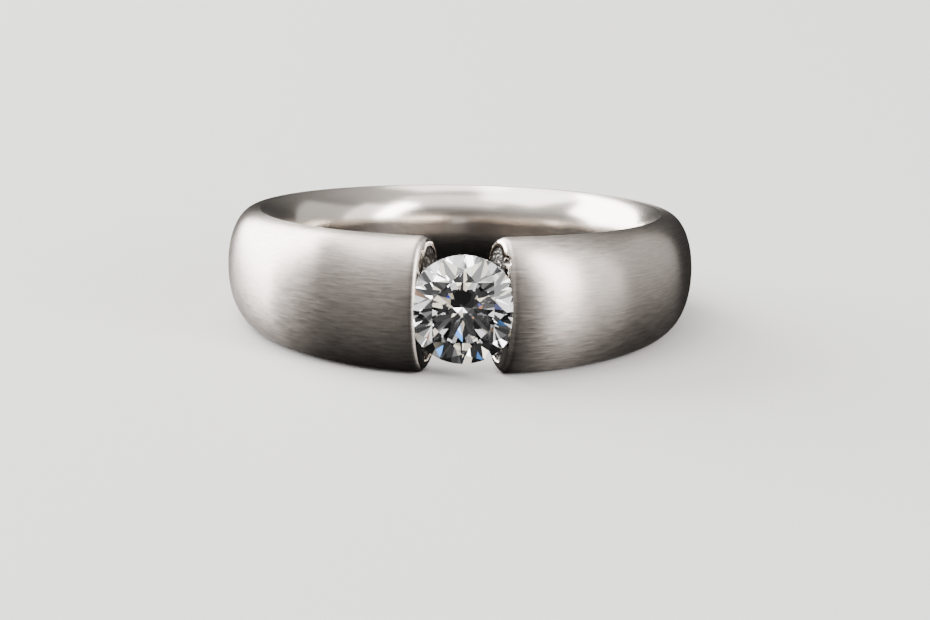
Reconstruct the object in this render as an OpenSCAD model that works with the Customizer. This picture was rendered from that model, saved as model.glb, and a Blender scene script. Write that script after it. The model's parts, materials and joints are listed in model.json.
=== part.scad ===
// Tension set ring: a domed band whose two ends hold a round brilliant stone.
// The ring lies on its side on z = 0, with the stone towards -Y.

/* [Finger hole] */
// Radius of the finger hole
finger_r = 8.4; // [7.5:0.1:10]
// How far the comfort fit reaches down the hole from each side face
comfort_drop = 1.8; // [1.4:0.1:2]

/* [Band] */
// Thickness of the metal at the stone
front_t = 3.25; // [3:0.05:3.8]
// Thickness of the metal at the back
back_t = 2.05; // [1.8:0.05:2.6]
// Width of the band at the stone
front_w = 6.6; // [6:0.1:7.5]
// Width of the band at the back
back_w = 3.8; // [3:0.1:5]
// How far the dome falls from its crest to the side faces at the stone
front_fall = 1.65; // [1.2:0.05:1.8]
// How far the dome falls at the back
back_fall = 0.95; // [0.7:0.05:1.1]
// Width of the flat rim between the dome and the comfort fit
rim_w = 0.15; // [0.1:0.05:0.25]
// Fullness of the dome, from an ellipse at 2 to squarer
dome_power = 2.1; // [2:0.05:2.6]

/* [Gap] */
// Gap between the two ends at the finger hole
gap_inner = 2.3; // [2:0.1:2.5]
// Splay of each end face, in degrees
gap_splay = 19.5; // [17:0.5:21]
// Radius of the rounded edge around each end face
end_edge_r = 0.35; // [0.2:0.05:0.4]

/* [Stone] */
// Diameter of the stone
stone_d = 5.1; // [5:0.05:5.2]
// Table from corner to corner, as a share of the diameter
table_share = 0.6; // [0.54:0.01:0.62]
// Angle of the crown's kite facets, in degrees
crown_angle = 34.5; // [33:0.5:36]
// Angle of the pavilion's main facets, in degrees
pavilion_angle = 40.8; // [40:0.2:41.4]
// Thickness of the girdle as a share of the diameter
girdle_share = 0.03; // [0.025:0.005:0.04]
// Depth of the girdle below the crest of the band
girdle_depth = 0.75; // [0.7:0.05:0.85]
// Clearance between the stone and its seats
seat_gap = 0.03; // [0.02:0.01:0.05]

/* [Smoothness] */
// Sections around the band
ring_steps = 72; // [48:8:88]
// Steps across the dome
dome_steps = 18; // [12:2:22]

/* [Hidden] */

// The crest is a circle whose centre is set off from the finger's axis, towards the stone.
crest_r = finger_r + (front_t + back_t) / 2;
crest_shift = (front_t - back_t) / 2;
front_y = -crest_shift - crest_r;

// Before the ring is laid down, its side faces are the planes z = +-(axis_half_w - taper * y).
taper = (front_w - back_w) / 4 / crest_r;
axis_half_w = front_w / 2 + taper * front_y;
rest_tilt = atan(taper);
rest_z = axis_half_w * cos(rest_tilt);
centre_y = crest_shift;

// The side planes, the finger hole and the end planes trim a blank that reaches past them.
side_stock = 0.3;
bore_stock = 0.03;
end_stock = 0.3;
lead = 0.02;
dome_stop = 87;
comfort_past = 1.05;
comfort_last = 0.15;
comfort_steps = 8;
// The comfort fits of the two sides take up no more than this share of the width.
comfort_most = 0.9;
edge_stop = 80;
edge_steps = 5;
far = 20;

splay_run = tan(gap_splay);

stone_r = stone_d / 2;
table_r = stone_r * table_share;
half_girdle = stone_d * girdle_share / 2;
girdle_y = front_y + girdle_depth;
// The star facets reach this share of the way from the table's edge to the girdle.
star_share = 0.5;
// The lower half facets reach this share of the way from the girdle to the culet.
lower_share = 0.78;
eighth = 45;
sixteenth = eighth / 2;
girdle_steps = 64;
per_eighth = girdle_steps / 8;
per_sixteenth = per_eighth / 2;

// Radii from the stone's axis and heights from its girdle plane, with the table up
table_edge_r = table_r * cos(sixteenth);
crown_z = half_girdle + (stone_r - table_r) * tan(crown_angle);
star_r = table_edge_r + star_share * (stone_r - table_edge_r);
star_z = half_girdle + (stone_r - star_r * cos(sixteenth)) * tan(crown_angle);
lower_r = stone_r * (1 - lower_share);
lower_z = -half_girdle - (stone_r - lower_r * cos(sixteenth)) * tan(pavilion_angle);
culet_z = -half_girdle - stone_r * tan(pavilion_angle);
crown_slope = (star_z - half_girdle) / (star_r - stone_r);
lower_slope = (lower_z + half_girdle) / (lower_r - stone_r);

function signed_power(v, p) = sign(v) * abs(v) ^ p;
function degrees(length, r) = length / r * 180 / PI;

// Angles around the band start at the stone and turn towards +X.
function crest(a) = crest_shift * cos(a) + sqrt(crest_r ^ 2 - (crest_shift * sin(a)) ^ 2);
function fall(a) = back_fall + (front_fall - back_fall) * (1 + cos(a)) / 2;
function side_r(a) = crest(a) - fall(a);
function half_width(r, a) = axis_half_w + taper * r * cos(a);

// Half the gap at a distance from the finger's axis towards the stone
function half_gap(depth) = gap_inner / 2 + splay_run * (depth - finger_r);

// The angle at which an end plane meets radius r
function end_angle(r) = gap_splay + asin(half_gap(0) * cos(gap_splay) / r);

// The angle of a point at radius r: v runs from one end of the band to the other, and margin is
// how far from the end planes the sweep starts and stops.
function sweep_angle(r, v, margin) =
    let (start = end_angle(r) + degrees(margin, r))
    start + v * (360 - 2 * start);

function on_band(r, share, lift, v, margin) =
    let (a = sweep_angle(r, v, margin))
    [r * sin(a), -r * cos(a), share * half_width(r, a) + lift];

// The dome is a superellipse, and inset sinks it along its normal.
function dome_point(t, a, v, margin, inset) =
    let (e = 2 / dome_power,
         share = signed_power(sin(t), e),
         r = crest(a) - fall(a) * (1 - abs(cos(t)) ^ e),
         across = signed_power(sin(t), 2 - e) / half_width(r, a),
         along = abs(cos(t)) ^ (2 - e) / fall(a),
         sink = inset * min(1, 2 * cos(t)) / norm([across, along]))
    on_band(r - sink * along, share, -sink * across, v, margin);

// The comfort fit is an arc from the rim, at share 1, to the finger hole's wall, which it joins
// without a crease at share 0.
function comfort_run(a) = side_r(a) - rim_w - finger_r;
function comfort_reach(a) = min(comfort_drop, comfort_most * half_width(finger_r, a));
function comfort_lean(a, share) = share * 2 * atan(comfort_run(a) / comfort_reach(a));
function comfort_bend(a) = (comfort_run(a) ^ 2 + comfort_reach(a) ^ 2) / (2 * comfort_run(a));
function comfort_r(a, share) = finger_r + comfort_bend(a) * (1 - cos(comfort_lean(a, share)));
function comfort_point(share, a, side, v, margin) =
    let (rise = comfort_bend(a) * sin(comfort_lean(a, share)))
    on_band(comfort_r(a, share), side, side * (rise - comfort_reach(a)), v, margin);

function dome_end_r(a) = crest(a) - fall(a) * (1 - cos(dome_stop) ^ (2 / dome_power));

function section(v, margin, inset) =
    let (a = sweep_angle(crest_r, v, margin),
         top_r = dome_end_r(a) - lead,
         low_r = comfort_r(a, comfort_past) + lead,
         bore_r = finger_r - bore_stock,
         step = (comfort_past - comfort_last) / comfort_steps,
         last_lean = comfort_lean(a, comfort_last),
         run_down = comfort_reach(a) - comfort_bend(a) * tan(last_lean / 2)
                    + bore_stock / tan(last_lean))
    [
        for (i = [0 : dome_steps])
            dome_point(dome_stop * (2 * i / dome_steps - 1), a, v, margin, inset),
        on_band(top_r, 1, side_stock, v, margin),
        on_band(low_r, 1, side_stock, v, margin),
        for (i = [0 : comfort_steps])
            comfort_point(comfort_past - step * i, a, 1, v, margin),
        on_band(bore_r, 1, -run_down, v, margin),
        on_band(bore_r, -1, run_down, v, margin),
        for (i = [comfort_steps : -1 : 0])
            comfort_point(comfort_past - step * i, a, -1, v, margin),
        on_band(low_r, -1, -side_stock, v, margin),
        on_band(top_r, -1, -side_stock, v, margin),
    ];

function edge_margin(t) = end_edge_r * (1 - sin(t));
function edge_inset(t) = end_edge_r * (1 - cos(t));
function edge_section(v, i) =
    let (t = edge_stop * i / edge_steps)
    section(v, edge_margin(t), edge_inset(t));

function blank_sections() = [
    section(0, -end_stock, edge_inset(edge_stop)),
    for (i = [edge_steps : -1 : 1]) edge_section(0, i),
    for (i = [0 : ring_steps]) section(i / ring_steps, end_edge_r, 0),
    for (i = [1 : edge_steps]) edge_section(1, i),
    section(1, -end_stock, edge_inset(edge_stop)),
];

// The blank closes on itself across the gap, which is cut afterwards.
module blank() {
    sections = blank_sections();
    rows = len(sections);
    columns = len(sections[0]);
    polyhedron(
        points = [for (s = sections) each s],
        faces = [
            for (i = [0 : rows - 1], j = [0 : columns - 1])
                let (i2 = (i + 1) % rows,
                     j2 = (j + 1) % columns,
                     a = i * columns + j,
                     b = i * columns + j2,
                     c = i2 * columns + j2,
                     d = i2 * columns + j)
                each [[a, b, c], [a, c, d]]
        ],
        convexity = 6
    );
}

module side_waste() {
    translate([0, 0, axis_half_w])
        rotate([-rest_tilt, 0, 0])
            translate([-far, -far, 0])
                cube([2 * far, 2 * far, far]);
}

module gap() {
    near = finger_r - 1.4;
    past = crest_r + 2;
    linear_extrude(height = far, center = true)
        polygon([
            [half_gap(near), -near], [half_gap(past), -past],
            [-half_gap(past), -past], [-half_gap(near), -near]
        ]);
}

// Turns a stone, drawn with its table up, so that its table looks out of the ring.
module set_in_ring() {
    translate([0, girdle_y, 0])
        rotate([90, 0, 0])
            children();
}

// The seat is the outline that the stone sweeps when it turns about its axis, grown by the
// clearance.
module seat() {
    r = stone_r + seat_gap;
    crown_rise = seat_gap * norm([1, crown_slope]);
    lower_rise = seat_gap * norm([1, lower_slope]);
    rotate_extrude($fn = 128)
        polygon([
            [0, culet_z - lower_rise],
            [lower_r, lower_z - lower_rise],
            [r, -half_girdle - lower_rise + seat_gap * lower_slope],
            [r, half_girdle + crown_rise + seat_gap * crown_slope],
            [star_r, star_z + crown_rise],
            [table_r, crown_z + crown_rise],
            [0, crown_z + crown_rise]
        ]);
}

module lay_on_side() {
    translate([0, centre_y, rest_z])
        rotate([-rest_tilt, 0, 0])
            children();
}

module band() {
    color("#c9c5be")
        lay_on_side()
            difference() {
                blank();
                side_waste();
                mirror([0, 0, 1]) side_waste();
                cylinder(h = far, r = finger_r, center = true, $fn = 128);
                gap();
                set_in_ring() seat();
            }
}

function polar(r, a, z) = [r * cos(a), r * sin(a), z];

// What the edge that a half facet leaves on the girdle adds to the girdle's height: the facet's
// plane has that height at both ends of its sixteenth of the circle, and falls outwards by slope.
function girdle_edge(i, slope) =
    let (mid = sixteenth / 2,
         a = (i % per_sixteenth) * 360 / girdle_steps - mid)
    slope * stone_r * (cos(a) / cos(mid) - 1);

module stone() {
    n = girdle_steps;
    points = [
        for (k = [0 : 7]) polar(table_r, sixteenth + eighth * k, crown_z),
        for (k = [0 : 7]) polar(star_r, eighth * k, star_z),
        for (i = [0 : n - 1]) polar(stone_r, i * 360 / n, half_girdle + girdle_edge(i, crown_slope)),
        for (i = [0 : n - 1]) polar(stone_r, i * 360 / n, girdle_edge(i, lower_slope) - half_girdle),
        for (k = [0 : 7]) polar(lower_r, eighth * k, lower_z),
        [0, 0, culet_z]
    ];
    star = 8;
    top = 16;
    bottom = top + n;
    lower = bottom + n;
    culet = lower + 8;
    table = [[for (k = [7 : -1 : 0]) k]];
    stars = [for (k = [0 : 7]) [k, star + k, (k + 7) % 8]];
    kites = [for (k = [0 : 7]) [k, star + (k + 1) % 8, top + per_eighth * k + per_sixteenth, star + k]];
    upper_halves = [
        for (k = [0 : 7], side = [0, 1])
            [star + (k + side) % 8,
             for (i = [per_sixteenth : -1 : 0]) top + (per_eighth * k + side * per_sixteenth + i) % n]
    ];
    girdle = [
        for (i = [0 : n - 1])
            [top + i, top + (i + 1) % n, bottom + (i + 1) % n, bottom + i]
    ];
    lower_halves = [
        for (k = [0 : 7], side = [0, 1])
            [lower + (k + side) % 8,
             for (i = [0 : per_sixteenth]) bottom + (per_eighth * k + side * per_sixteenth + i) % n]
    ];
    mains = [
        for (k = [0 : 7])
            [culet, lower + k, bottom + per_eighth * k + per_sixteenth, lower + (k + 1) % 8]
    ];
    color([0.86, 0.9, 0.94, 0.7])
        lay_on_side()
            set_in_ring()
                polyhedron(
                    points = points,
                    faces = concat(table, stars, kites, upper_halves, girdle, lower_halves, mains),
                    convexity = 2
                );
}

band();
stone();
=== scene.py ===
import json
import math

import bmesh
import bpy
import numpy as np
from mathutils import Matrix, Quaternion, Vector


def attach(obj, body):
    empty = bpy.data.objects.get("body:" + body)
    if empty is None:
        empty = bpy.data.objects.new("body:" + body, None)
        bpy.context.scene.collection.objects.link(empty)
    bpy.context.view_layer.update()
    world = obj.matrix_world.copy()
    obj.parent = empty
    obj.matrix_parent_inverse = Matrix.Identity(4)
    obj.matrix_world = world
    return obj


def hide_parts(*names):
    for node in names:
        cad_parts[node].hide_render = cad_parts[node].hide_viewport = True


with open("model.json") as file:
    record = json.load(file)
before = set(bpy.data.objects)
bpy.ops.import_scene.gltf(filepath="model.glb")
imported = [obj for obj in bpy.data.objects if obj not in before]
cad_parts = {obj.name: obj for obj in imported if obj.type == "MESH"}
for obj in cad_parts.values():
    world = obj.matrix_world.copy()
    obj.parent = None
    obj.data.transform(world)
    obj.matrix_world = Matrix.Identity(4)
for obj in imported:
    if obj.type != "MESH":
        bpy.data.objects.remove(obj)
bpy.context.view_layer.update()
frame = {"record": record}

mm = 0.001
fingerHole = next(m for m in frame["record"]["mounts"] if m["name"] == "finger_hole")
holeRadius = fingerHole["dims"]["r_mm"]
ringCentre = Vector(fingerHole["pos_m"])
restTilt = math.atan2(fingerHole["axis"][1], fingerHole["axis"][2])
layOnSide = Matrix.Translation(ringCentre) @ Matrix.Rotation(-restTilt, 4, "X")


def linearColour(hexCode):
    # sRGB hex to the linear colour that a shader takes
    srgb = np.array([int(hexCode[i:i + 2], 16) / 255 for i in (1, 3, 5)])
    linear = np.where(srgb <= 0.04045, srgb / 12.92, ((srgb + 0.055) / 1.055) ** 2.4)
    return (*linear.tolist(), 1.0)


def addNode(tree, kind, settings=None, values=None, links=None):
    # a node with its settings, its sockets' values and what feeds them
    node = tree.nodes.new(kind)
    for name, value in (settings or {}).items():
        setattr(node, name, value)
    for name, value in (values or {}).items():
        node.inputs[name].default_value = value
    for name, source in (links or {}).items():
        tree.links.new(source, node.inputs[name])
    return node


mixFactor, mixA, mixB, mixResult = 0, 6, 7, 2   # a colour Mix node's sockets, whose names repeat


def newMaterial(name):
    # a material with an empty node tree
    material = bpy.data.materials.new(name)
    material.use_nodes = True
    tree = material.node_tree
    tree.nodes.clear()
    return material, tree


def addPiece(name, points, faces, materials):
    # points in millimetres in the ring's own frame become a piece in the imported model's frame
    mesh = bpy.data.meshes.new(name)
    mesh.from_pydata((points * mm).tolist(), [], faces)
    mesh.transform(layOnSide)
    for material in materials:
        mesh.materials.append(material)
    piece = bpy.data.objects.new(name, mesh)
    bpy.context.scene.collection.objects.link(piece)
    return piece


# Band

bandShape = {
    "frontThickness": 3.25,    # metal at the stone
    "backThickness": 2.05,     # metal at the back
    "frontWidth": 6.6,
    "backWidth": 3.8,
    "frontFall": 1.65,         # from the crest of the dome to the side faces, at the stone
    "backFall": 0.95,
    "domePower": 2.1,          # 2 is an ellipse, more is squarer
    "rimWidth": 0.15,          # flat rim between the dome and the comfort fit
    "comfortDrop": 1.8,        # how far the comfort fit reaches down the hole from each side
    "comfortMost": 0.9,        # and at most this share of half the width
    "gapInner": 2.3,           # between the ends, at the finger hole
    "gapSplay": 19.5,          # degrees, each end face
    "endEdge": 0.35,           # radius of the lip round each end face
    "endEdgeInner": 0.08,      # the same, at the finger hole
    "polishedLip": 50,         # degrees round the lip, past which it is polished
    "shoulderDip": 0.1,        # how far the crest rolls down towards each end
    "shoulderReach": 1.9,      # and over what length
    "sections": 140,
    "endCrowding": 0.7,        # 0 spaces the sections evenly, 1 crowds them most at the ends
    "edgeSteps": 10,
    "domeSteps": 120,
    "rimSteps": 3,
    "comfortSteps": 20,
    "capSteps": 84,
    "borderWidth": 0.36,       # polished strip inside the lip, round the milled pocket
    "borderWidthSide": 0.13,   # the same, at the side faces
    "borderWidthInner": 0.05,  # the same, at the finger hole
    "pocketDepth": 0.05,
    "pocketStep": 0.05,        # width of the pocket's sloping wall
    "reliefHeight": 0.036,            # of each wave in its floor, before their mean is taken
    "reliefWaves": (0.12, 0.35, 16),  # shortest and longest wave, and how many
    "reliefSeeds": (3, 8),            # right end, left end
    "sharpEdge": 30,           # degrees between two faces, past which their edge shows
}
bandLooks = {"satin": 0, "polished": 1, "milled": 2, "buffed": 3}   # the band's materials, in order

crestRadius = holeRadius + (bandShape["frontThickness"] + bandShape["backThickness"]) / 2
crestShift = (bandShape["frontThickness"] - bandShape["backThickness"]) / 2
frontDepth = crestShift + crestRadius
taper = (bandShape["frontWidth"] - bandShape["backWidth"]) / 4 / crestRadius
axisHalfWidth = bandShape["frontWidth"] / 2 - taper * frontDepth
splay = math.radians(bandShape["gapSplay"])


def crestAt(angle):
    # the crest is a circle set off from the finger's axis, towards the stone:
    # shift * cos(angle) + the root of (radius^2 - (shift * sin(angle))^2)
    return crestShift * np.cos(angle) + np.sqrt(crestRadius**2 - (crestShift * np.sin(angle)) ** 2)


def fallAt(angle):
    # from the back's fall to the front's, by (1 + cos(angle)) / 2
    back, front = bandShape["backFall"], bandShape["frontFall"]
    return back + (front - back) * (1 + np.cos(angle)) / 2


def halfWidthAt(radius, angle):
    # the side faces are planes: half the width grows by taper for each mm towards the stone
    return axisHalfWidth + taper * radius * np.cos(angle)


def halfGapAt(depth):
    # the end faces are planes: half the gap grows by tan(splay) for each mm from the finger's axis
    return bandShape["gapInner"] / 2 + math.tan(splay) * (depth - holeRadius)


def sweepAngle(radius, share, margin):
    # Share runs from one end plane to the other, each end drawn back by margin. An end plane meets
    # a circle round the finger's axis at splay + asin(half gap at the axis * cos(splay) / radius).
    start = splay + np.arcsin(halfGapAt(0) * math.cos(splay) / radius) + margin / radius
    return start + share * (2 * math.pi - 2 * start)


def signedPower(value, power):
    # |value|^power, with the sign of the value
    return np.sign(value) * np.abs(value) ** power


def comfortAt(angle):
    # The comfort fit is an arc from the rim down to the finger hole's wall, which it joins without
    # a crease: how far it drops down the hole, its radius and how far it leans at the rim.
    run = crestAt(angle) - fallAt(angle) - bandShape["rimWidth"] - holeRadius
    most = bandShape["comfortMost"] * halfWidthAt(holeRadius, angle)
    drop = np.minimum(bandShape["comfortDrop"], most)
    return run, drop, (run**2 + drop**2) / (2 * run), 2 * np.arctan2(run, drop)


def bandOutline():
    # what each column of the band is: its kind, its own parameter and its side; and how many columns run
    # round the outside
    comfort = np.linspace(0, 1, bandShape["comfortSteps"])
    flat = np.linspace(0, 1, bandShape["rimSteps"] + 2)[1:-1]
    dome = np.linspace(-1, 1, bandShape["domeSteps"] + 1) * math.pi / 2
    outerCount = 2 * len(comfort) + 2 * len(flat) + len(dome)
    wall = np.linspace(1, -1, outerCount)[1:-1]
    kinds = [("comfort", comfort, -1), ("rim", flat, -1), ("dome", dome, 0),
             ("rim", flat[::-1], 1), ("comfort", comfort[::-1], 1), ("wall", wall, 0)]
    kind = np.concatenate([np.full(len(t), name) for name, t, side in kinds])
    side = np.concatenate([np.full(len(t), side) for name, t, side in kinds])
    t = np.concatenate([values for name, values, side in kinds])
    return kind, t, side, outerCount


def outerShare(outline):
    # 1 on the dome and the rims, falling to 0 along the comfort fit as t^2
    kind, t = outline[:2]
    return np.select([kind == "comfort", kind == "wall"], [t**2, 0], 1)


def bandPoints(share, turn, outline):
    # The section at share of the way round, carried round the finger's axis.
    # dome: width = halfWidth * sin(t)^e, radius = crest - dip * |cos t|^e - fall * (1 - |cos t|^e),
    # where e = 2 / domePower and dip grows with the square of the nearness to an end
    # rim: the flat side face; wall: the finger hole; comfort: the arc between them,
    # radius = hole + bend * (1 - cos lean), width = halfWidth - drop + bend * sin lean
    # turn runs from 0, full section, to 90 degrees, the end plane: each point is drawn back by
    # lip * (1 - sin turn) and sunk along its normal by lip * (1 - cos turn)
    kind, t, side, _ = outline
    share, turn = share[:, None], turn[:, None]
    inner = bandShape["endEdgeInner"]
    lip = inner + (bandShape["endEdge"] - inner) * outerShare(outline)
    margin = lip * (1 - np.sin(turn))
    sink = lip * (1 - np.cos(turn))
    power = 2 / bandShape["domePower"]
    around = sweepAngle(crestRadius, share, margin)
    nearest = np.minimum(around, 2 * math.pi - around) - sweepAngle(crestRadius, 0, 0)
    nearness = np.clip(1 - nearest * crestRadius / bandShape["shoulderReach"], 0, 1)
    dip = bandShape["shoulderDip"] * nearness**2
    run, drop, bend, rimLean = comfortAt(around)
    lean = rimLean * t
    isDome, isComfort, isRim = kind == "dome", kind == "comfort", kind == "rim"
    cosT = np.where(isDome, np.maximum(np.cos(t), 0), 1)
    sinT = np.where(isDome, np.sin(t), 0)
    radius = np.select(
        [isDome, isComfort, isRim],
        [crestAt(around) - dip * cosT**power - fallAt(around) * (1 - cosT**power),
         holeRadius + bend * (1 - np.cos(lean)),
         holeRadius + run + bandShape["rimWidth"] * t],
        holeRadius)
    width = halfWidthAt(radius, around)
    height = np.select(
        [isDome, isComfort, isRim],
        [width * signedPower(sinT, power),
         side * (width - drop + bend * np.sin(lean)),
         side * width],
        t * (width - drop))
    flatUp = side + 0 * width
    normalUp = np.select([isDome, isComfort, isRim],
                         [signedPower(sinT, 2 - power) / width, side * np.sin(lean), flatUp], 0)
    normalOut = np.select([isDome, isComfort, isRim],
                          [cosT ** (2 - power) / fallAt(around), -np.cos(lean), 0 * width], -1)
    length = np.hypot(normalUp, normalOut)
    radius = radius - sink * normalOut / length
    height = height - sink * normalUp / length
    angle = sweepAngle(radius, share, margin)
    return np.stack([radius * np.sin(angle), -radius * np.cos(angle), height], -1), angle


def insideBorder(points, path, border):
    # how far each point lies inside a closed outline, past a border of its own width at each point
    start, end = path, np.roll(path, -1, axis=0)
    run = end - start
    widths = (border + np.roll(border, -1)) / 2
    away = points[..., None, :] - start
    noLength = 1e-12           # keeps a doubled point of the outline from dividing by nothing
    along = np.clip((away * run).sum(-1) / np.maximum((run**2).sum(-1), noLength), 0, 1)
    return (np.linalg.norm(away - along[..., None] * run, axis=-1) - widths).min(-1)


def smoothStep(low, high, value):
    # x^2 * (3 - 2 * x), where x runs from 0 at low to 1 at high
    x = np.clip((value - low) / (high - low), 0, 1)
    return x * x * (3 - 2 * x)


def seededWaves(x, y, seed):
    # the mean of plane waves whose lengths, directions and phases come from a seed
    shortest, longest, count = bandShape["reliefWaves"]
    rng = np.random.default_rng(seed)
    pull = 2 * math.pi / rng.uniform(shortest, longest, count)
    turn, phase = rng.uniform(0, 2 * math.pi, (2, count))
    return np.sin(pull * (x[..., None] * np.cos(turn) + y[..., None] * np.sin(turn)) + phase).mean(-1)


def gridQuads(rows, columns, closed=False):
    # quads of a grid whose points run along each row; closed joins the last column to the first
    i, j = np.meshgrid(np.arange(rows - 1), np.arange(columns if closed else columns - 1), indexing="ij")
    k = (j + 1) % columns
    return np.stack([i * columns + j, (i + 1) * columns + j, (i + 1) * columns + k, i * columns + k], -1)


def borderWidths(outline):
    # widest at the crest of the dome, with the cosine of its angle, and narrowest at the finger hole
    kind, t = outline[:2]
    least, side = bandShape["borderWidthInner"], bandShape["borderWidthSide"]
    crest = np.where(kind == "dome", np.maximum(np.cos(t), 0), 0)
    return least + (side - least) * outerShare(outline) + (bandShape["borderWidth"] - side) * crest


def endCap(ring, outline, side, seed):
    # The end face is ruled from the outer path to the finger hole's edge. Its middle is milled:
    # inside the border it drops by pocketDepth, with a relief of seeded waves.
    outerCount = outline[-1]
    outer = ring[:outerCount]
    inner = np.concatenate([ring[:1], ring[outerCount:][::-1], ring[outerCount - 1:outerCount]])
    share = np.linspace(0, 1, bandShape["capSteps"] + 1)[:, None, None]
    points = outer * (1 - share) + inner * share
    radial = np.array([side * math.sin(splay), -math.cos(splay), 0])
    into = np.array([side * math.cos(splay), math.sin(splay), 0])
    place = np.stack([points @ radial, points[..., 2]], -1)
    inside = insideBorder(place, np.stack([ring @ radial, ring[:, 2]], -1), borderWidths(outline))
    milled = smoothStep(0, bandShape["pocketStep"], inside)
    relief = bandShape["reliefHeight"] * seededWaves(place[..., 0], place[..., 1], seed)
    sunk = milled * (bandShape["pocketDepth"] + relief)
    points = points + sunk[..., None] * into
    quads = gridQuads(*points.shape[:2])
    if side > 0:
        quads = quads[..., ::-1]
    middle = (milled[:-1, :-1] + milled[1:, 1:]) / 2
    nearlyDeep = 0.9
    # the pocket's floor takes the milled material, in which the shade of the pits is painted
    look = np.where(middle > nearlyDeep, bandLooks["milled"], bandLooks["polished"])
    return points.reshape(-1, 3), quads.reshape(-1, 4), look.reshape(-1), place.reshape(-1, 2)


def buildBand(materials):
    # The section is carried from lip to lip, and a milled cap closes each end.
    # shares: even + crowding * ((1 - cos(pi * even)) / 2 - even)
    outline = bandOutline()
    turns = np.linspace(math.pi / 2, 0, bandShape["edgeSteps"], endpoint=False)
    even = np.linspace(0, 1, bandShape["sections"] + 1)
    shares = even + bandShape["endCrowding"] * ((1 - np.cos(math.pi * even)) / 2 - even)
    share = np.concatenate([np.zeros_like(turns), shares, np.ones_like(turns)])
    turn = np.concatenate([turns, np.zeros_like(shares), turns[::-1]])
    grid, angle = bandPoints(share, turn, outline)
    rows, columns = grid.shape[:2]
    middle = grid[rows // 2]
    across = np.cumsum(np.linalg.norm(np.roll(middle, -1, axis=0) - middle, axis=1))
    across = np.concatenate([[0], across])
    along = angle * crestRadius
    print("band: sweep", rows, "x", columns)

    i, j = np.meshgrid(np.arange(rows - 1), np.arange(columns), indexing="ij")
    k = (j + 1) % columns
    corners = [(i, j, j), (i + 1, j, j), (i + 1, k, j + 1), (i, k, j + 1)]
    uv = np.stack([np.stack([along[r, c], across[w]], -1) for r, c, w in corners], 2)
    outside = np.isin(outline[0], ("dome", "rim"))
    column = np.where(outside, bandLooks["satin"], bandLooks["buffed"])
    look = np.broadcast_to(column, (rows - 1, columns)).copy()
    turned = (turn[:-1] + turn[1:]) / 2
    look[turned > math.radians(bandShape["polishedLip"])] = bandLooks["polished"]

    points = [grid.reshape(-1, 3)]
    faces = [gridQuads(rows, columns, closed=True).reshape(-1, 4)]
    looks = [look.reshape(-1)]
    uvs = [uv.reshape(-1, 4, 2)]
    rightSeed, leftSeed = bandShape["reliefSeeds"]
    for row, side, seed in ((0, 1, rightSeed), (rows - 1, -1, leftSeed)):
        capPoints, capQuads, capLook, place = endCap(grid[row], outline, side, seed)
        faces.append(capQuads + sum(len(p) for p in points))
        points.append(capPoints)
        looks.append(capLook)
        uvs.append(place[capQuads])

    piece = addPiece("satinBand", np.concatenate(points), np.concatenate(faces).tolist(), materials)
    mesh = piece.data
    mesh.polygons.foreach_set("material_index", np.concatenate(looks).astype(np.int32))
    uvs = np.concatenate(uvs).reshape(-1).astype(np.float32)
    mesh.uv_layers.new(name="bandMap").data.foreach_set("uv", uvs)
    weld(mesh)
    return piece


def weld(mesh):
    # merges the doubles where a cap meets the sweep, and drops what collapses there
    double, collapsed = 2e-7, 1e-8
    shell = bmesh.new()
    shell.from_mesh(mesh)
    bmesh.ops.remove_doubles(shell, verts=shell.verts, dist=double)
    bmesh.ops.dissolve_degenerate(shell, edges=shell.edges, dist=collapsed)
    shell.to_mesh(mesh)
    shell.free()
    mesh.update()


# Stone

stoneShape = {
    "diameter": 5.1,
    "tableShare": 0.6,         # corner to corner
    "crownAngle": 34.5,
    "pavilionAngle": 40.8,
    "girdleShare": 0.03,
    "girdleDepth": 0.75,       # below the crest of the band
    "starShare": 0.5,          # how far the star facets reach from the table to the girdle
    "lowerShare": 0.78,        # how far the lower halves reach from the girdle to the culet
    "girdleSteps": 64,
}


def stoneSizes():
    # Radii from the stone's axis and heights over its girdle plane, with the table up. A height is
    # the girdle's edge + (radius - distance out along the facet's middle) * tan(facet angle).
    sixteenth = math.pi / 8
    radius = stoneShape["diameter"] / 2
    crown = math.tan(math.radians(stoneShape["crownAngle"]))
    pavilion = math.tan(math.radians(stoneShape["pavilionAngle"]))
    tableRadius = radius * stoneShape["tableShare"]
    halfGirdle = stoneShape["diameter"] * stoneShape["girdleShare"] / 2
    tableEdge = tableRadius * math.cos(sixteenth)
    starRadius = tableEdge + stoneShape["starShare"] * (radius - tableEdge)
    starHeight = halfGirdle + (radius - starRadius * math.cos(sixteenth)) * crown
    lowerRadius = radius * (1 - stoneShape["lowerShare"])
    lowerHeight = -halfGirdle - (radius - lowerRadius * math.cos(sixteenth)) * pavilion
    return {
        "radius": radius,
        "tableRadius": tableRadius,
        "halfGirdle": halfGirdle,
        "tableHeight": halfGirdle + (radius - tableRadius) * crown,
        "starRadius": starRadius,
        "starHeight": starHeight,
        "lowerRadius": lowerRadius,
        "lowerHeight": lowerHeight,
        "culetHeight": -halfGirdle - radius * pavilion,
        "crownSlope": (starHeight - halfGirdle) / (starRadius - radius),
        "lowerSlope": (lowerHeight + halfGirdle) / (lowerRadius - radius),
    }


def setInRing(points):
    # a stone drawn with its table up is turned so that the table looks out of the ring
    girdle = -frontDepth + stoneShape["girdleDepth"]
    return np.stack([points[:, 0], girdle - points[:, 2], points[:, 1]], -1)


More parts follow.
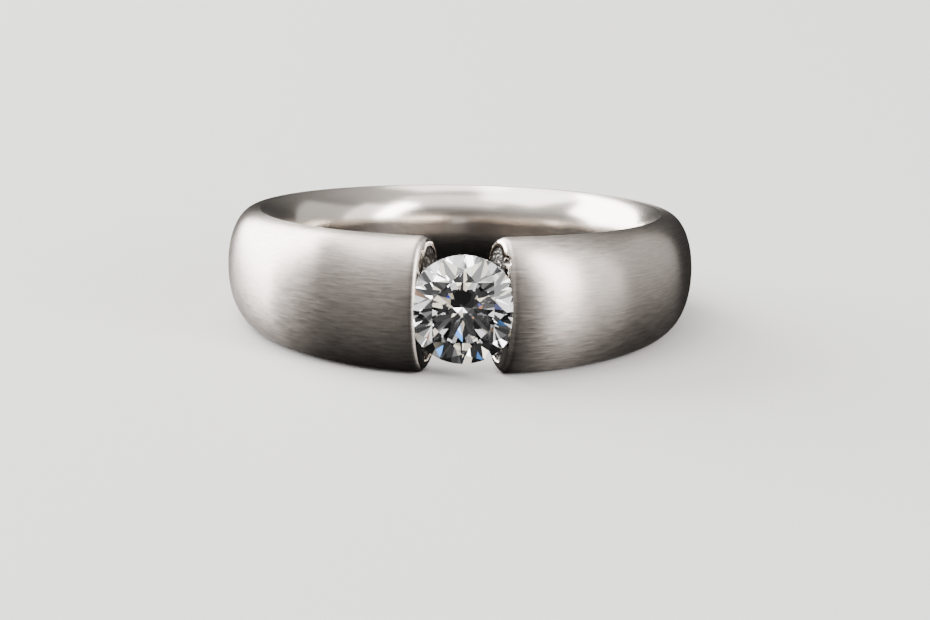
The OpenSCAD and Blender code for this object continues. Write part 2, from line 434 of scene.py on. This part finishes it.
def buildStone(clear, bruted):
    # rings of corners from the table down to the culet, joined by flat facets
    s = stoneSizes()
    steps = stoneShape["girdleSteps"]
    perEighth = steps // 8
    perSixteenth = perEighth // 2
    eighth = math.pi / 4
    sixteenth = eighth / 2

    def ring(radius, turns, height):
        return np.stack([radius * np.cos(turns), radius * np.sin(turns), height + 0 * turns], -1)

    def girdleEdge(slope):
        # the half facet's plane has the girdle's height at both ends of its sixteenth
        offset = (np.arange(steps) % perSixteenth) * 2 * math.pi / steps - sixteenth / 2
        return slope * s["radius"] * (np.cos(offset) / math.cos(sixteenth / 2) - 1)

    eighths = np.arange(8) * eighth
    turns = np.arange(steps) * 2 * math.pi / steps
    points = np.concatenate([
        ring(s["tableRadius"], eighths + sixteenth, s["tableHeight"]),
        ring(s["starRadius"], eighths, s["starHeight"]),
        ring(s["radius"], turns, s["halfGirdle"] + girdleEdge(s["crownSlope"])),
        ring(s["radius"], turns, girdleEdge(s["lowerSlope"]) - s["halfGirdle"]),
        ring(s["lowerRadius"], eighths, s["lowerHeight"]),
        [[0, 0, s["culetHeight"]]],
    ])
    star, top = 8, 16
    bottom = top + steps
    lower = bottom + steps
    culet = lower + 8
    faces = [list(range(8))]
    for k in range(8):
        after = (k + 1) % 8
        middle = perEighth * k + perSixteenth
        faces.append([k, (k + 7) % 8, star + k])
        faces.append([k, star + k, top + middle, star + after])
        faces.append([culet, lower + after, bottom + middle, lower + k])
        for side in (0, 1):
            arc = [(perEighth * k + side * perSixteenth + i) % steps for i in range(perSixteenth + 1)]
            faces.append([star + (k + side) % 8, *(top + i for i in arc)])
            faces.append([lower + (k + side) % 8, *(bottom + i for i in reversed(arc))])
    facets = len(faces)
    faces += [[bottom + i, bottom + (i + 1) % steps, top + (i + 1) % steps, top + i] for i in range(steps)]
    piece = addPiece("brilliantStone", setInRing(points), faces, [clear, bruted])
    onGirdle = np.arange(len(faces)) >= facets
    piece.data.polygons.foreach_set("material_index", onGirdle.astype(np.int32))
    return piece


# Seat and nick, cut out of the band

cutShape = {
    "seatGap": 0.03,           # all round the stone
    "seatSteps": 160,
    "nickCentre": (1.94, -10.7, 2.21),  # a round burr has nicked the lip of the right end
    "nickRadius": 0.32,
    "nickSteps": 48,
}


def turnedSolid(profile, steps):
    # radius and height, turned round the z axis and closed at both poles
    around = np.arange(steps) * 2 * math.pi / steps
    rings = profile[1:-1]
    wall = np.stack([rings[:, :1] * np.cos(around), rings[:, :1] * np.sin(around),
                     rings[:, 1:] + 0 * around], -1).reshape(-1, 3)
    bottom, top = len(wall), len(wall) + 1
    points = np.concatenate([wall, [[0, 0, profile[0, 1]], [0, 0, profile[-1, 1]]]])
    quads = gridQuads(len(rings), steps, closed=True)[..., ::-1].reshape(-1, 4).tolist()
    last = (len(rings) - 1) * steps
    fans = [(bottom, (i + 1) % steps, i) for i in range(steps)]
    fans += [(top, last + i, last + (i + 1) % steps) for i in range(steps)]
    return points, quads + fans


def seatProfile():
    # radius and height of the outline that the stone sweeps when it turns, grown by the clearance
    s = stoneSizes()
    gap = cutShape["seatGap"]
    crownRise = gap * math.hypot(1, s["crownSlope"])
    lowerRise = gap * math.hypot(1, s["lowerSlope"])
    wide = s["radius"] + gap
    return np.array([
        [0, s["culetHeight"] - lowerRise],
        [s["lowerRadius"], s["lowerHeight"] - lowerRise],
        [wide, -s["halfGirdle"] - lowerRise + gap * s["lowerSlope"]],
        [wide, s["halfGirdle"] + crownRise + gap * s["crownSlope"]],
        [s["starRadius"], s["starHeight"] + crownRise],
        [s["tableRadius"], s["tableHeight"] + crownRise],
        [0, s["tableHeight"] + crownRise],
    ])


def cutSeatAndNick(band, polished):
    # The stone's seat and the burr's nick are cut out of the band.
    # nick: a half circle, radius * (sin, -cos), turned into a ball
    seat, seatFaces = turnedSolid(seatProfile(), cutShape["seatSteps"])
    steps = cutShape["nickSteps"]
    turn = np.linspace(0, math.pi, steps // 2 + 1)
    halfCircle = cutShape["nickRadius"] * np.stack([np.sin(turn), -np.cos(turn)], -1)
    ball, ballFaces = turnedSolid(halfCircle, steps)
    cutters = [addPiece("seatCutter", setInRing(seat), seatFaces, [polished]),
               addPiece("nickCutter", ball + cutShape["nickCentre"], ballFaces, [polished])]
    for cutter in cutters:
        cut = band.modifiers.new(cutter.name, "BOOLEAN")
        cut.operation = "DIFFERENCE"
        cut.solver = "EXACT"
        cut.material_mode = "TRANSFER"
        cut.object = cutter
    evaluated = band.evaluated_get(bpy.context.evaluated_depsgraph_get())
    finished = bpy.data.meshes.new_from_object(evaluated)
    band.modifiers.clear()
    band.data = finished
    finished.name = band.name
    for cutter in cutters:
        bpy.data.objects.remove(cutter)


# Finishes

noiseSpan = {"From Min": 0.3, "From Max": 0.7}   # where most of a noise lies
acrossStrokes = 0.25                             # of a turn, from the strokes to their highlights
satinFinish = {
    "colours": ("#c3b6ad", "#e9ded4"),
    "roughness": 0.32,
    "roughnessSpread": 0.04,
    "anisotropy": 0.9,
    "strokeLength": 0.9,       # mm
    "strokeWidth": 0.05,       # coarser than the real strokes, so that they show
    "strokeRise": 0.000003,    # metres, for the bump
    "strokeDetail": 4,
    "strokeGrain": 0.65,       # how much the finest strokes count
    "strokeWaver": 0.6,        # how far they stray from a straight line
}


def satinWhiteGold():
    # White gold brushed along the band: fine strokes that draw the highlights out across it
    look = satinFinish
    material, tree = newMaterial("satinWhiteGold")
    place = addNode(tree, "ShaderNodeUVMap", {"uv_map": "bandMap"})
    scale = (1 / look["strokeLength"], 1 / look["strokeWidth"], 1)
    strokes = addNode(tree, "ShaderNodeMapping", {}, {"Scale": scale}, {"Vector": place.outputs["UV"]})
    fine = addNode(tree, "ShaderNodeTexNoise", {},
                   {"Scale": 1.0, "Detail": look["strokeDetail"], "Roughness": look["strokeGrain"],
                    "Distortion": look["strokeWaver"]},
                   {"Vector": strokes.outputs["Vector"]})
    least = look["roughness"] - look["roughnessSpread"]
    most = look["roughness"] + look["roughnessSpread"]
    rough = addNode(tree, "ShaderNodeMapRange", {}, {**noiseSpan, "To Min": least, "To Max": most},
                    {"Value": fine.outputs["Fac"]})
    dark, light = look["colours"]
    blend = addNode(tree, "ShaderNodeMapRange", {}, noiseSpan, {"Value": fine.outputs["Fac"]})
    tint = addNode(tree, "ShaderNodeMix", {"data_type": "RGBA"},
                   {mixA: linearColour(dark), mixB: linearColour(light)},
                   {mixFactor: blend.outputs["Result"]})
    bump = addNode(tree, "ShaderNodeBump", {}, {"Strength": 1.0, "Distance": look["strokeRise"]},
                   {"Height": fine.outputs["Fac"]})
    tangent = addNode(tree, "ShaderNodeTangent", {"direction_type": "UV_MAP", "uv_map": "bandMap"})
    shader = addNode(tree, "ShaderNodeBsdfPrincipled", {},
                     {"Metallic": 1.0, "Anisotropic": look["anisotropy"],
                      "Anisotropic Rotation": acrossStrokes},
                     {"Base Color": tint.outputs[mixResult], "Roughness": rough.outputs["Result"],
                      "Normal": bump.outputs["Normal"], "Tangent": tangent.outputs["Tangent"]})
    addNode(tree, "ShaderNodeOutputMaterial", {}, {}, {"Surface": shader.outputs["BSDF"]})
    return material


polishedFinish = {
    "colour": "#e3d9cf",
    "roughness": (0.04, 0.08),
    "hazeSize": 1.1,           # mm
    "hazeDetail": 4,
}


def polishedWhiteGold():
    # White gold polished with a mop: a mirror with a faint haze
    look = polishedFinish
    material, tree = newMaterial("polishedWhiteGold")
    place = addNode(tree, "ShaderNodeTexCoord")
    haze = addNode(tree, "ShaderNodeTexNoise", {},
                   {"Scale": 1 / (look["hazeSize"] * mm), "Detail": look["hazeDetail"]},
                   {"Vector": place.outputs["Object"]})
    least, most = look["roughness"]
    rough = addNode(tree, "ShaderNodeMapRange", {}, {**noiseSpan, "To Min": least, "To Max": most},
                    {"Value": haze.outputs["Fac"]})
    shader = addNode(tree, "ShaderNodeBsdfPrincipled", {},
                     {"Base Color": linearColour(look["colour"]), "Metallic": 1.0},
                     {"Roughness": rough.outputs["Result"]})
    addNode(tree, "ShaderNodeOutputMaterial", {}, {}, {"Surface": shader.outputs["BSDF"]})
    return material


buffedFinish = {
    "colour": "#e3d9cf",
    "roughness": (0.18, 0.24),
    "anisotropy": 0.6,
    "strokeLength": 3.0,       # mm
    "strokeWidth": 0.08,
    "strokeDetail": 3,
}


def buffedWhiteGold():
    # White gold buffed round the inside: a mirror that smears what it shows up and down
    look = buffedFinish
    material, tree = newMaterial("buffedWhiteGold")
    place = addNode(tree, "ShaderNodeUVMap", {"uv_map": "bandMap"})
    scale = (1 / look["strokeLength"], 1 / look["strokeWidth"], 1)
    strokes = addNode(tree, "ShaderNodeMapping", {}, {"Scale": scale}, {"Vector": place.outputs["UV"]})
    fine = addNode(tree, "ShaderNodeTexNoise", {}, {"Scale": 1.0, "Detail": look["strokeDetail"]},
                   {"Vector": strokes.outputs["Vector"]})
    least, most = look["roughness"]
    rough = addNode(tree, "ShaderNodeMapRange", {}, {**noiseSpan, "To Min": least, "To Max": most},
                    {"Value": fine.outputs["Fac"]})
    tangent = addNode(tree, "ShaderNodeTangent", {"direction_type": "UV_MAP", "uv_map": "bandMap"})
    shader = addNode(tree, "ShaderNodeBsdfPrincipled", {},
                     {"Base Color": linearColour(look["colour"]), "Metallic": 1.0,
                      "Anisotropic": look["anisotropy"], "Anisotropic Rotation": acrossStrokes},
                     {"Roughness": rough.outputs["Result"], "Tangent": tangent.outputs["Tangent"]})
    addNode(tree, "ShaderNodeOutputMaterial", {}, {}, {"Surface": shader.outputs["BSDF"]})
    return material


milledFinish = {
    # painted shade for the pits, then the metal's own pale colour
    "colours": ("#24211e", "#d8d4cd"),
    "unshadedShare": 0.16,       # of the grains
    "roughness": 0.32,
    "gritSize": 0.09,          # mm
    "gritRise": 0.00006,       # metres, for the bump
    "gritStrength": 0.8,
}


def milledGoldPaintedShade():
    # White gold left from the cutter, pitted by its grains' bump, with painted shade: most grains are
    # painted near black for the shade in the pits, a few keep the metal's pale colour
    look = milledFinish
    material, tree = newMaterial("milledGoldPaintedShade")
    place = addNode(tree, "ShaderNodeTexCoord")
    grains = addNode(tree, "ShaderNodeTexVoronoi", {}, {"Scale": 1 / (look["gritSize"] * mm)},
                     {"Vector": place.outputs["Object"]})
    # each grain has a random level from 0 to 1; the few that pass this soft step keep the metal's pale
    # colour, and the rest are painted near black as shade in the pits
    level = addNode(tree, "ShaderNodeSeparateColor", {}, {}, {"Color": grains.outputs["Color"]})
    share, soft = look["unshadedShare"], look["unshadedShare"] / 2
    bright = addNode(tree, "ShaderNodeMapRange", {}, {"From Min": share + soft, "From Max": share - soft},
                     {"Value": level.outputs["Red"]})
    dark, light = look["colours"]
    tint = addNode(tree, "ShaderNodeMix", {"data_type": "RGBA"},
                   {mixA: linearColour(dark), mixB: linearColour(light)},
                   {mixFactor: bright.outputs["Result"]})
    bump = addNode(tree, "ShaderNodeBump", {},
                   {"Strength": look["gritStrength"], "Distance": look["gritRise"]},
                   {"Height": grains.outputs["Distance"]})
    shader = addNode(tree, "ShaderNodeBsdfPrincipled", {},
                     {"Metallic": 1.0, "Roughness": look["roughness"]},
                     {"Base Color": tint.outputs[mixResult], "Normal": bump.outputs["Normal"]})
    addNode(tree, "ShaderNodeOutputMaterial", {}, {}, {"Surface": shader.outputs["BSDF"]})
    return material


stoneFinish = {
    "colour": "#fefefe",
    "ior": 2.417,              # of diamond
    "facetRoughness": 0.0,
    "girdleRoughness": 0.15,
}


def diamondMaterial(name, roughness):
    # Diamond: polished facets are clear and mirror inwards, white against black, and the bruted
    # girdle is frosted
    material, tree = newMaterial(name)
    shader = addNode(tree, "ShaderNodeBsdfPrincipled", {},
                     {"Base Color": linearColour(stoneFinish["colour"]), "Roughness": roughness,
                      "IOR": stoneFinish["ior"], "Transmission Weight": 1.0})
    addNode(tree, "ShaderNodeOutputMaterial", {}, {}, {"Surface": shader.outputs["BSDF"]})
    return material


polished = polishedWhiteGold()
band = buildBand([satinWhiteGold(), polished, milledGoldPaintedShade(), buffedWhiteGold()])
cutSeatAndNick(band, polished)
band.data.polygons.foreach_set("use_smooth", [True] * len(band.data.polygons))
band.data.set_sharp_from_angle(angle=math.radians(bandShape["sharpEdge"]))
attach(band, "root")
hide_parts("band")
print("band: done,", len(band.data.polygons), "faces")

stone = buildStone(diamondMaterial("clearDiamond", stoneFinish["facetRoughness"]),
                   diamondMaterial("brutedDiamond", stoneFinish["girdleRoughness"]))
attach(stone, "root")
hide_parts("stone")
print("stone: done,", len(stone.data.polygons), "faces")


# Stage

floorLook = {
    "halfWidth": 3.0,          # metres
    "height": -0.00001,        # just under the ring
    "colour": "#dad8d5",
    "roughness": 0.6,
}


def addFloor():
    # Matt pale paint: an even ground that takes only a soft shadow
    material, tree = newMaterial("paleFloor")
    shader = addNode(tree, "ShaderNodeBsdfPrincipled", {},
                     {"Base Color": linearColour(floorLook["colour"]), "Roughness": floorLook["roughness"]})
    addNode(tree, "ShaderNodeOutputMaterial", {}, {}, {"Surface": shader.outputs["BSDF"]})
    mesh = bpy.data.meshes.new("floor")
    half, height = floorLook["halfWidth"], floorLook["height"]
    corners = [(x * half, y * half, height) for x, y in ((-1, -1), (1, -1), (1, 1), (-1, 1))]
    mesh.from_pydata(corners, [], [(0, 1, 2, 3)])
    mesh.materials.append(material)
    floor = bpy.data.objects.new("floor", mesh)
    floor.visible_glossy = False         # the metal is dark where it would mirror the floor
    floor.visible_transmission = False
    bpy.context.scene.collection.objects.link(floor)


studio = {
    "distance": 0.35,          # metres, from the middle of the ring to each soft light
    "skyStrength": 5.0,        # what 1 means in the steps below
    "skySteps": ((-0.79, 0.004), (-0.56, 0.006), (-0.34, 0.011), (-0.19, 0.018), (0.0, 0.03),
                 (0.17, 0.05), (0.42, 0.11), (0.64, 0.2), (0.87, 0.4), (1.0, 0.5)),
    "rightShade": 0.35,        # what is left of the sky in front and on the right
    "shadeSpan": (-0.75, -0.1),   # and where its X direction goes from full to shaded
    "glowHeart": 0.7,          # the share of a glow's radius that has its full strength
    # glows that only the stone shows, through its facets: azimuth, elevation, radius, strength
    "glows": {
        "#fff4dc": ((35, 22, 11, 2.5), (38, -7, 9, 2.5), (23, 3, 6, 3.0), (-24, 24, 9, 2.2),
                    (-30, 3, 7, 1.2), (6, 32, 8, 2.0), (3, 13, 4.5, 4.5), (10, -2, 3, 4.5),
                    (-1, 5, 2.5, 3.0), (19, -9, 4, 2.5), (22, -21, 4, 0.8),
                    (-23, -7, 4, 1.5), (-13, -20, 4, 1.2), (0, -14, 2.5, 2.0)),
        "#5fa8ff": ((-9, -6, 3.2, 3.0), (1, -7, 1.5, 2.0)),
        "#3a55ff": ((14, -18, 2, 0.8), (-14, 19, 2, 0.8)),
        "#ffb478": ((-12, 15, 2.5, 2.0), (10, 5, 2, 0.9), (-10, 3, 2.5, 2.5)),
    },
}
# azimuth 0 is in front of the ring and 90 to its right; all angles are in degrees
softLights = {
    "leftSoftbox": {"azimuth": -124, "elevation": 18, "wide": 55, "high": 54, "roll": -20, "radiance": 13},
    "topSoftbox": {"azimuth": -100, "elevation": 66, "wide": 60, "high": 34, "roll": 0, "radiance": 4.5},
    "frontSoftbox": {"azimuth": 4, "elevation": 58, "wide": 52, "high": 34, "roll": 0, "radiance": 1.5},
    "zenithSoftbox": {"azimuth": 170, "elevation": 76, "wide": 28, "high": 26, "roll": 0, "radiance": 3.5},
    "rightSoftbox": {"azimuth": 49, "elevation": 24, "wide": 14, "high": 46, "roll": 14, "radiance": 17},
    "rightGlow": {"azimuth": 69, "elevation": 16, "wide": 28, "high": 46, "roll": 14, "radiance": 2.3},
    "rightFill": {"azimuth": 108, "elevation": 12, "wide": 56, "high": 44, "roll": 0, "radiance": 0.65},
}


def directionTo(azimuth, elevation):
    # sin(azimuth) * cos(elevation) to the right, cos(azimuth) * cos(elevation) to the front and
    # sin(elevation) up
    a, e = math.radians(azimuth), math.radians(elevation)
    return Vector((math.sin(a) * math.cos(e), -math.cos(a) * math.cos(e), math.sin(e)))


def addSoftbox(name, settings):
    # A rectangle that the ring sees under the angles wide and high: each side is
    # 2 * distance * tan(angle / 2). Its energy is radiance * pi * area.
    distance = studio["distance"]
    light = bpy.data.lights.new(name, "AREA")
    light.shape = "RECTANGLE"
    light.size = 2 * distance * math.tan(math.radians(settings["wide"] / 2))
    light.size_y = 2 * distance * math.tan(math.radians(settings["high"] / 2))
    light.energy = settings["radiance"] * math.pi * light.size * light.size_y
    lamp = bpy.data.objects.new(name, light)
    away = directionTo(settings["azimuth"], settings["elevation"])
    lamp.location = ringCentre + away * distance
    lamp.rotation_mode = "QUATERNION"
    roll = Quaternion((0, 0, 1), math.radians(settings["roll"]))
    lamp.rotation_quaternion = (-away).to_track_quat("-Z", "Y") @ roll
    lamp.visible_camera = False
    bpy.context.scene.collection.objects.link(lamp)


def addSky():
    # A soft ceiling that fades towards the floor and below it, shaded in front and on the right.
    # The glows are added for rays that have passed into the stone, and for no others.
    world = bpy.data.worlds.new("studio")
    world.use_nodes = True
    tree = world.node_tree
    tree.nodes.clear()
    way = addNode(tree, "ShaderNodeTexCoord")
    axes = addNode(tree, "ShaderNodeSeparateXYZ", {}, {}, {"Vector": way.outputs["Generated"]})
    share = addNode(tree, "ShaderNodeMapRange", {}, {"From Min": -1.0, "From Max": 1.0},
                    {"Value": axes.outputs["Z"]})
    ramp = addNode(tree, "ShaderNodeValToRGB", {}, {}, {"Fac": share.outputs["Result"]})
    steps = ramp.color_ramp.elements
    while len(steps) < len(studio["skySteps"]):
        steps.new(0.5)         # its place is set below
    for step, (height, level) in zip(steps, studio["skySteps"]):
        step.position = (height + 1) / 2
        step.color = (level, level, level, 1)
    bright, shaded = studio["shadeSpan"]
    shade = addNode(tree, "ShaderNodeMapRange", {"interpolation_type": "SMOOTHSTEP"},
                    {"From Min": bright, "From Max": shaded, "To Min": 1.0, "To Max": studio["rightShade"]},
                    {"Value": axes.outputs["X"]})
    skyLevel = addNode(tree, "ShaderNodeMath", {"operation": "MULTIPLY"}, {1: studio["skyStrength"]},
                       {0: shade.outputs["Result"]})
    sky = addNode(tree, "ShaderNodeVectorMath", {"operation": "SCALE"}, {},
                  {"Vector": ramp.outputs["Color"], "Scale": skyLevel.outputs["Value"]}).outputs["Vector"]
    glowing = sky
    for colour, glows in studio["glows"].items():
        tint = np.array(linearColour(colour)[:3])
        for azimuth, elevation, radius, strength in glows:
            near = addNode(tree, "ShaderNodeVectorMath", {"operation": "DOT_PRODUCT"},
                           {1: tuple(directionTo(azimuth, elevation))}, {0: way.outputs["Generated"]})
            rim = math.cos(math.radians(radius))
            heart = math.cos(math.radians(radius * studio["glowHeart"]))
            mask = addNode(tree, "ShaderNodeMapRange", {}, {"From Min": rim, "From Max": heart},
                           {"Value": near.outputs["Value"]})
            glow = (*(strength * tint).tolist(), 1)
            glowing = addNode(tree, "ShaderNodeMix", {"data_type": "RGBA", "blend_type": "ADD"},
                              {mixB: glow},
                              {mixFactor: mask.outputs["Result"], mixA: glowing}).outputs[mixResult]
    path = addNode(tree, "ShaderNodeLightPath")
    seen = addNode(tree, "ShaderNodeMix", {"data_type": "RGBA"}, {},
                   {mixFactor: path.outputs["Is Transmission Ray"], mixA: sky, mixB: glowing})
    background = addNode(tree, "ShaderNodeBackground", {}, {}, {"Color": seen.outputs[mixResult]})
    addNode(tree, "ShaderNodeOutputWorld", {}, {}, {"Surface": background.outputs["Background"]})
    bpy.context.scene.world = world


cameraView = {
    "azimuth": -1.0,          # the photo's angles, in degrees
    "elevation": 15.12,
    "roll": 1.1,
    "distance": 0.25,
    "focalPixels": 5225,
    "frame": (930, 620),
    "centreAt": (459.8, 262.0),   # where the middle of the finger hole shows in that frame
    "clip": (0.01, 20),
}


def addCamera():
    # It stands at the photo's angles and looks past the finger hole by (frame / 2 - centreAt) *
    # distance / focalPixels, so that the hole shows at centreAt.
    distance = cameraView["distance"]
    away = directionTo(cameraView["azimuth"], cameraView["elevation"])
    roll = Matrix.Rotation(math.radians(cameraView["roll"]), 3, "Z")
    turned = (-away).to_track_quat("-Z", "Y").to_matrix() @ roll
    wide, high = cameraView["frame"]
    perPixel = distance / cameraView["focalPixels"]
    right = (wide / 2 - cameraView["centreAt"][0]) * perPixel
    down = (high / 2 - cameraView["centreAt"][1]) * perPixel
    place = ringCentre + away * distance
    aim = ringCentre + turned.col[0] * right - turned.col[1] * down
    look = (aim - place).normalized()
    back, up = -look, turned.col[1]
    side = up.cross(back).normalized()
    up = back.cross(side)
    data = bpy.data.cameras.new("camera")
    data.lens = cameraView["focalPixels"] / wide * data.sensor_width
    data.clip_start, data.clip_end = cameraView["clip"]
    camera = bpy.data.objects.new("camera", data)
    camera.matrix_world = Matrix.Translation(place) @ Matrix((side, up, back)).transposed().to_4x4()
    bpy.context.scene.collection.objects.link(camera)
    bpy.context.scene.camera = camera


addFloor()
addSky()
for lightName, lightSettings in softLights.items():
    addSoftbox(lightName, lightSettings)
addCamera()
print("stage: done")
